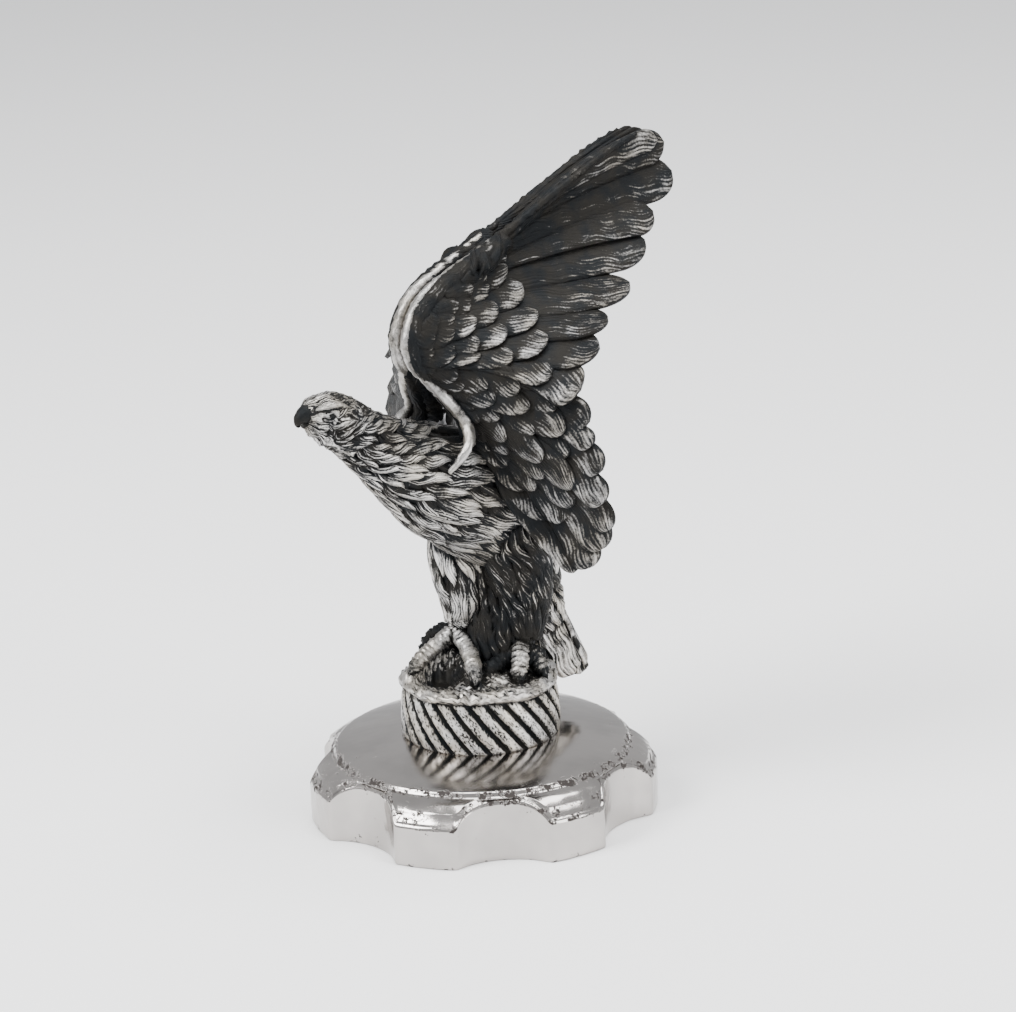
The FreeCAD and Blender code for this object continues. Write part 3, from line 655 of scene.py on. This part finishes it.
def build_rock():
    """Rough rock: a mound with a crest on the eagle's right and a hollow in front, and an upright side."""
    cast = Casting()
    columns, rows, side_rows = 160, 60, 8
    turn = turns(columns)[None, :]
    share = np.linspace(0, 1, rows)[:, None]
    rim = 16.9 + 0.3 * np.sin(3 * turn + 1) + 0.25 * np.cos(5 * turn) + 0.2 * np.sin(9 * turn + 2)
    reach = rim * share
    x, y = reach * np.cos(turn), reach * np.sin(turn)
    mound = 3.4 * (1 - smooth(4, 14, reach))
    crest = np.exp(-((x + 7.0) / 2.2) ** 2) * smooth(-17, -13, y) * (1 - smooth(-1, 3, y))
    crest_height = np.interp(y, [-16, -12.4, -9, -4, 0], [0.3, 1.5, 3.3, 4.2, 3.0])
    hollow = np.exp(-((x + 0.8) / 4.0) ** 2 - ((y + 8.8) / 3.6) ** 2)
    top = np.stack([x, y, ROCK_TOP + mound + crest * crest_height - 5.0 * hollow], -1)
    top[..., 2] += 0.4 * lumps(top, 4.0) + 0.25 * lumps(top + 7, 1.5)
    top[..., 2] = np.maximum(top[..., 2], ROCK_FOOT + 1)
    edge = smooth(0.84, 1.0, share)
    top[..., 2] -= edge ** 2
    down = np.linspace(0, 1, side_rows)[:, None]
    side_reach = rim * (1 + 0.02 * np.sin(math.pi * down) - 0.06 * down ** 2)
    side = np.stack([side_reach * np.cos(turn), side_reach * np.sin(turn),
                     top[-1:, :, 2] * (1 - down) + ROCK_FOOT * down], -1)
    side += 0.22 * lumps(side, 1.9)[..., None] * unit(side * (1, 1, 0))
    middle = 0.02 * rim
    foot = np.stack([middle * np.cos(turn), middle * np.sin(turn), ROCK_FOOT + 0 * turn], -1)
    grid = np.concatenate([top, side[1:], foot])
    top_shine = 0.5 - 0.75 * hollow + 0.4 * crest + 0.2 * edge
    shine = np.concatenate([top_shine, np.full((side_rows, columns), 0.66)])
    shine = shine + 0.25 * lumps(grid, 1.0) + 0.2 * lumps(grid + 3, 0.6)
    tube(cast, grid, 0.0, shine, [0.3, 0.3])
    return cast


def toe(cast, points, radii, polish):
    """Toe with scaly rings across its top, ending in a hooked claw."""
    limb = Limb([(*p, r) for p, r in zip(points, radii)])
    distance, turn = limb.grid(56, 20)
    point, normal, _ = limb.at(distance, turn)
    before_claw = 1 - smooth(0.72, 0.8, distance / limb.length)
    scale = np.abs(np.sin(math.pi * distance / 1.15)) ** 0.6 * before_claw
    rings = 0.2 * (scale - 0.5) * (0.6 + 0.4 * np.cos(turn))
    point = point + normal * (rings + 0.28 * lumps(point, 1.8))[..., None]
    shine = polish + 0.22 * (scale - 0.6) + 0.12 * lumps(point, 1.1)
    tube(cast, point, 0.0, shine, [polish, polish])


def build_foot(ankle, toes, polish):
    cast = Casting()
    first = toes[0][0][0]
    shank = [np.add(ankle, (0, 0, 3)), ankle, first, np.add(first, (0, 0, -1.5))]
    toe(cast, shank, (2.4, 2.1, 2.0, 1.4), polish)
    for points, shine in toes:
        claw = np.subtract(points[-1], points[-2])
        claw = points[-1] + claw * 1.6 / np.linalg.norm(claw) - (0, 0, 0.9)
        toe(cast, [*points, claw], (*np.linspace(2.0, 1.5, len(points)), 0.4), shine)
    return cast


# ---------------------------------------------------------------- collar and cap

SEAT_HEIGHT = 17.5
SEAT_RADIUS = 17.4
STUD_HOLE = 4.3
COLLAR_TALL = 11.0
FLUTES = 26
FLUTE_TWIST = math.radians(30.0)
LOBES = 7
LOBE_STEP = 2 * math.pi / LOBES
LOBE_RADIUS = 38.0
FIRST_LOBE = math.radians(-59.3 + 180 / LOBES)
SCALLOP_AWAY = 48.36
SCALLOP_RADIUS = 15.36
SKIRT_WALL = 1.2
CORNER = 0.9
PLATEAU_EDGE = 32.9
SHOULDER_ROUND = 1.25


def build_collar():
    """Collar with slanted flutes cut between its ribs, bored for the stud."""
    cast = Casting()
    columns, rows = FLUTES * 18, 34
    turn = turns(columns)[None, :]
    level = np.linspace(0, 1, rows)[:, None]
    lean = FLUTE_TWIST * (level - 0.5)
    phase = (turn * FLUTES / (2 * math.pi)) % 1.0 + 0 * level
    groove = np.exp(-((phase - 0.5) / 0.15) ** 2)
    lip = smooth(0, 0.05, level) * (1 - smooth(0.93, 1.0, level))
    radius = 17.2 - 0.7 * level + 0.35 * np.sin(math.pi * level) - groove * lip
    radius = radius - 0.35 * (1 - smooth(0, 0.05, level)) - 0.3 * smooth(0.94, 1, level)
    outer = np.stack([radius * np.cos(turn - lean), radius * np.sin(turn - lean),
                      SEAT_HEIGHT + COLLAR_TALL * level + 0 * turn], -1)
    outer += unit(outer * (1, 1, 0)) * (0.08 * lumps(outer, 1.7))[..., None]
    to_bore = (0.26, 0.26, 1)
    grid = np.concatenate([outer[:1] * to_bore, outer, outer[-1:] * to_bore])
    rib = 1 - groove
    pits = smooth(0.5, 0.8, lumps(outer, 1.3)) + smooth(0.6, 0.9, lumps(outer + 5, 0.7))
    end = np.full((1, columns), 0.3)
    shine = np.concatenate([end, 0.1 + 0.62 * rib - 0.4 * pits * rib, end])
    cast.add(grid, bored_faces(rows + 2, columns), 0.0, shine)
    return cast


def lobe_reach(turn, wall=0.0):
    """Plan outline of the cap, wall inside its outer face: seven lobes between scallops, corners rounded."""
    offset = (turn - FIRST_LOBE + LOBE_STEP / 2) % LOBE_STEP - LOBE_STEP / 2
    inside = np.clip((SCALLOP_RADIUS + wall) ** 2 - (SCALLOP_AWAY * np.sin(offset)) ** 2, 0, None)
    scallop = np.where(inside > 0, SCALLOP_AWAY * np.cos(offset) - np.sqrt(inside), 60)
    lobe = LOBE_RADIUS - wall
    blend = np.clip(0.5 + 0.5 * (scallop - lobe) / CORNER, 0, 1)
    return scallop * (1 - blend) + lobe * blend - CORNER * blend * (1 - blend)


def shoulder_height(radius):
    """Height of the cap's sloping shoulder between the plateau and the lobes, less its crown."""
    fall = np.clip((radius - PLATEAU_EDGE) / 5.1, 0, 1)
    return -4.0 * fall + 3.2 * fall * (1 - fall)


def build_cap():
    """Cap as one wrapped profile: dome, lip, shoulder, lobed skirt, then back up inside to the stud hole."""
    cast = Casting()
    columns = LOBES * 90
    turn = turns(columns)
    rim = lobe_reach(turn)
    inner = lobe_reach(turn, SKIRT_WALL)
    profile, wear = [], []

    def level(radius, height, worn=0.0):
        profile.append(np.stack(np.broadcast_arrays(radius, height, turn)[:2], -1))
        wear.append(np.full(turn.shape, worn))

    for radius in np.linspace(STUD_HOLE, 31.2, 34):
        slope = np.clip((radius - SEAT_RADIUS) / 14.6, 0, 1)
        level(radius, SEAT_HEIGHT - 2.5 * slope + 1.2 * slope * (1 - slope), 0.5 * smooth(28, 31.5, radius))
    for radius, height, worn in ((31.5, 15.1, .8), (31.75, 14.95, 1), (31.95, 14.7, 1), (32.1, 14.4, 1),
                                 (32.3, 14.1, 1), (32.6, 13.95, 1), (PLATEAU_EDGE, 13.84, .8)):
        level(np.minimum(radius, rim - 0.3 + 0.004 * radius), height, worn)
    for share in np.linspace(0.08, 0.94, 10):
        radius = PLATEAU_EDGE + (rim - 1.3 - PLATEAU_EDGE) * share
        level(radius, 13.82 + shoulder_height(radius), 0.35 + 0.5 * share ** 3)
    brink = 13.75 + shoulder_height(rim)
    for angle in np.radians((12, 26, 40, 54, 68, 82)):
        inward = SHOULDER_ROUND * (1 - math.sin(angle))
        down = SHOULDER_ROUND * (1 - math.cos(angle))
        level(rim - inward, brink - 0.1 - down, 0.9)
    for share in np.linspace(0, 1, 16):
        height = (brink - 1.3) * (1 - share) + 0.35 * share
        level(rim, height, 0.35 * (1 - share) ** 6 + 0.5 * share ** 8)
    level(rim - 0.12, 0.1, 0.7)
    level(rim - 0.35, 0.0, 0.7)
    level(inner + 0.2, 0.0, 0.4)
    level(inner, 0.2)
    for radius, height in ((36.5, 8.6), (33.5, 12.0), (31.2, 13.8)):
        level(np.minimum(inner, radius), height)
    for radius, height in ((28.5, 13.8), (SEAT_RADIUS, 16.1), (STUD_HOLE, 16.1)):
        level(radius, height)
    profile = np.stack(profile)
    point = np.stack([profile[..., 0] * np.cos(turn), profile[..., 0] * np.sin(turn), profile[..., 1]], -1)
    dents = lumps(point, 9.0) * 0.05
    point[..., 2] += np.where(profile[..., 1] > 14.5, dents * 0.25, 0)
    skirt = smooth(32.5, 34, profile[..., 0])
    point += unit(point * (1, 1, 0)) * (skirt * (dents - 0.08))[..., None]
    cast.add(point, bored_faces(len(profile), columns), 0.0, np.stack(wear))
    return cast


# ---------------------------------------------------------------- how openly each point is placed

def read(mesh_data, label, width=3, kind=float):
    """The numbers stored under label, width to a row."""
    values = np.empty(len(mesh_data) * width, kind)
    mesh_data.foreach_get(label, values)
    return values.reshape(-1, width)


def store_openness(pieces, reach=5.0, rays=9):
    """Stores at each vertex, as open, the share of its rays that meet no casting within reach."""
    points, faces, start = [], [], 0
    for piece in pieces:
        mesh = piece.data
        points.append(read(mesh.vertices, "co") / MM)
        faces += [[v + start for v in polygon.vertices] for polygon in mesh.polygons]
        start += len(mesh.vertices)
    tree = BVHTree.FromPolygons(np.concatenate(points).tolist(), faces)
    tilt = np.arccos(np.sqrt(1 - (np.arange(rays) + 0.5) / rays))
    golden_angle = 2.39996
    spin = np.arange(rays) * golden_angle
    fan = np.stack([np.sin(tilt) * np.cos(spin), np.sin(tilt) * np.sin(spin), np.cos(tilt)], -1)
    for piece, co in zip(pieces, points):
        mesh = piece.data
        normal = read(mesh.vertices, "normal")
        across = unit(np.cross(normal, (0.31, 0.87, 0.39)))
        third = np.cross(normal, across)
        aim = (fan[None, :, 0:1] * across[:, None] + fan[None, :, 1:2] * third[:, None]
               + fan[None, :, 2:3] * normal[:, None])
        begin = co + normal * 0.12
        free = np.zeros(len(co))
        for i, (origin, directions) in enumerate(zip(begin.tolist(), aim.tolist())):
            for direction in directions:
                distance = tree.ray_cast(origin, direction, reach)[3]
                free[i] += 1.0 if distance is None else distance / reach
        free /= rays
        a, b = read(mesh.edges, "vertices", 2, int).T
        total, count = free.copy(), np.ones(len(co))
        for one, other in ((a, b), (b, a)):
            np.add.at(total, one, free[other])
            np.add.at(count, one, 1)
        store(mesh, "open", total / count)


# ---------------------------------------------------------------- put it together

wing_silver = antique_silver("wing_silver", grooves=0.9, base_shine=-0.03, lightest=0.72)
body_silver = antique_silver("body_silver", grooves=1.4, base_shine=0.08)
silver = antique_silver("base_silver", grooves=0.0)
near_wing = build_wing()
far_wing = near_wing.mirrored()
# The far wing is darker but for its leading edge, the last shell: partly heavier patina, partly painted
# shade for the shadow it lies in.
far_wing.polish = [polish - 0.15 for polish in near_wing.polish[:-1]] + near_wing.polish[-1:]
left_wing = build(near_wing, "wing_left", "mascot", ["left_wing"], wing_silver)
right_wing = build(far_wing, "wing_right", "mascot", ["right_wing"], wing_silver)
eagle = build(build_body(), "eagle", "mascot", ["eagle_body"], body_silver)
rock = build(build_rock(), "rock", "mascot", ["perch_rock"], silver)
left_foot = build(build_foot((7.9, 6.0, 39.0), LEFT_TOES, 0.4), "foot_left", "mascot", ["left_foot"],
                  silver)
right_foot = build(build_foot((-5.2, -0.4, 41.5), RIGHT_TOES, 0.62), "foot_right", "mascot", ["right_foot"],
                   silver)
collar = build(build_collar(), "collar", "mascot", ["base_collar"], silver)
store_openness([left_wing, eagle, rock, left_foot, right_foot, collar])
store(right_wing.data, "open", read(left_wing.data.attributes["open"].data, "value", 1).ravel())
build(build_cap(), "cap", "cap", ["cap_shell"], nickel())

brass = plain("old_brass", (0.55, 0.38, 0.16), 0.95, 0.35, 1500)
steel = plain("dull_steel", (0.42, 0.42, 0.43), 0.95, 0.38, 1800)
rubber = plain("black_rubber", (0.03, 0.03, 0.03), 0.0, 0.7, 1200)
fibre = plain("red_fibre", (0.36, 0.07, 0.05), 0.0, 0.6, 1600)
for node, look in (("neck_ring", brass), ("gasket", rubber), ("mascot_stud", steel), ("seal_washer", fibre),
                   ("clamp_washer", steel), ("lock_washer", steel), ("clamp_nut", steel),
                   ("left_wing_pin", steel), ("right_wing_pin", steel)):
    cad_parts[node].data.materials.clear()
    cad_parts[node].data.materials.append(look)

# ---------------------------------------------------------------- floor, light and camera, in metres

FLOOR_HALF = 4
MIDDLE = (0, 0, 0.07)
CAMERA_PLACE = (0.5573, -0.4579, 0.2927)
CAMERA_BACK = (0.7312, -0.6136, 0.2979)
CAMERA_RIGHT = (0.643, 0.766, 0.0)
CAMERA_ROLL = math.radians(-2.1)
CAMERA_LENS = 125.75

paper = Nodes("floor")
paper_color = paper.blend(paper.noise(6, 3), (0.93, 0.93, 0.935, 1), (0.95, 0.95, 0.95, 1))
floor_mesh = bpy.data.meshes.new("floor")
corners = [(FLOOR_HALF * x, FLOOR_HALF * y, 0) for x, y in ((-1, -1), (1, -1), (1, 1), (-1, 1))]
floor_mesh.from_pydata(corners, [], [(0, 1, 2, 3)])
floor_mesh.materials.append(paper.surface(color=paper_color, roughness=0.6))
floor = bpy.data.objects.new("floor", floor_mesh)
bpy.context.scene.collection.objects.link(floor)
floor.location.z = float(cad_low[2])


def soft_light(name, place, size, power):
    """Rectangular light aimed at the object's middle."""
    light = bpy.data.lights.new(name, "AREA")
    light.shape = "RECTANGLE"
    light.size, light.size_y = size
    light.energy = power
    lamp = bpy.data.objects.new(name, light)
    lamp.location = place
    lamp.rotation_euler = (Vector(place) - Vector(MIDDLE)).to_track_quat("Z", "Y").to_euler()
    bpy.context.scene.collection.objects.link(lamp)


soft_light("key", (-0.15, -0.75, 0.75), (0.5, 0.5), 16)
soft_light("side", (0.9, 0.25, 0.35), (0.4, 0.7), 7)
soft_light("top", (0.1, 0.1, 1.0), (0.7, 0.7), 16)

world = bpy.data.worlds.new("studio")
world.use_nodes = True
sky = world.node_tree.nodes["Background"].inputs
sky["Color"].default_value = (0.92, 0.93, 0.95, 1)
sky["Strength"].default_value = 0.8
bpy.context.scene.world = world

back = unit(CAMERA_BACK)
level_right = unit(CAMERA_RIGHT)
level_up = np.cross(back, level_right)
right = math.cos(CAMERA_ROLL) * level_right + math.sin(CAMERA_ROLL) * level_up
above = math.cos(CAMERA_ROLL) * level_up - math.sin(CAMERA_ROLL) * level_right
camera = bpy.data.objects.new("camera", bpy.data.cameras.new("camera"))
camera.data.lens = CAMERA_LENS
camera.data.sensor_width = 36
camera.data.clip_start = 0.01
turned = Matrix((right, above, back)).transposed().to_4x4()
camera.matrix_world = Matrix.Translation(Vector(CAMERA_PLACE)) @ turned
bpy.context.scene.collection.objects.link(camera)
bpy.context.scene.camera = camera
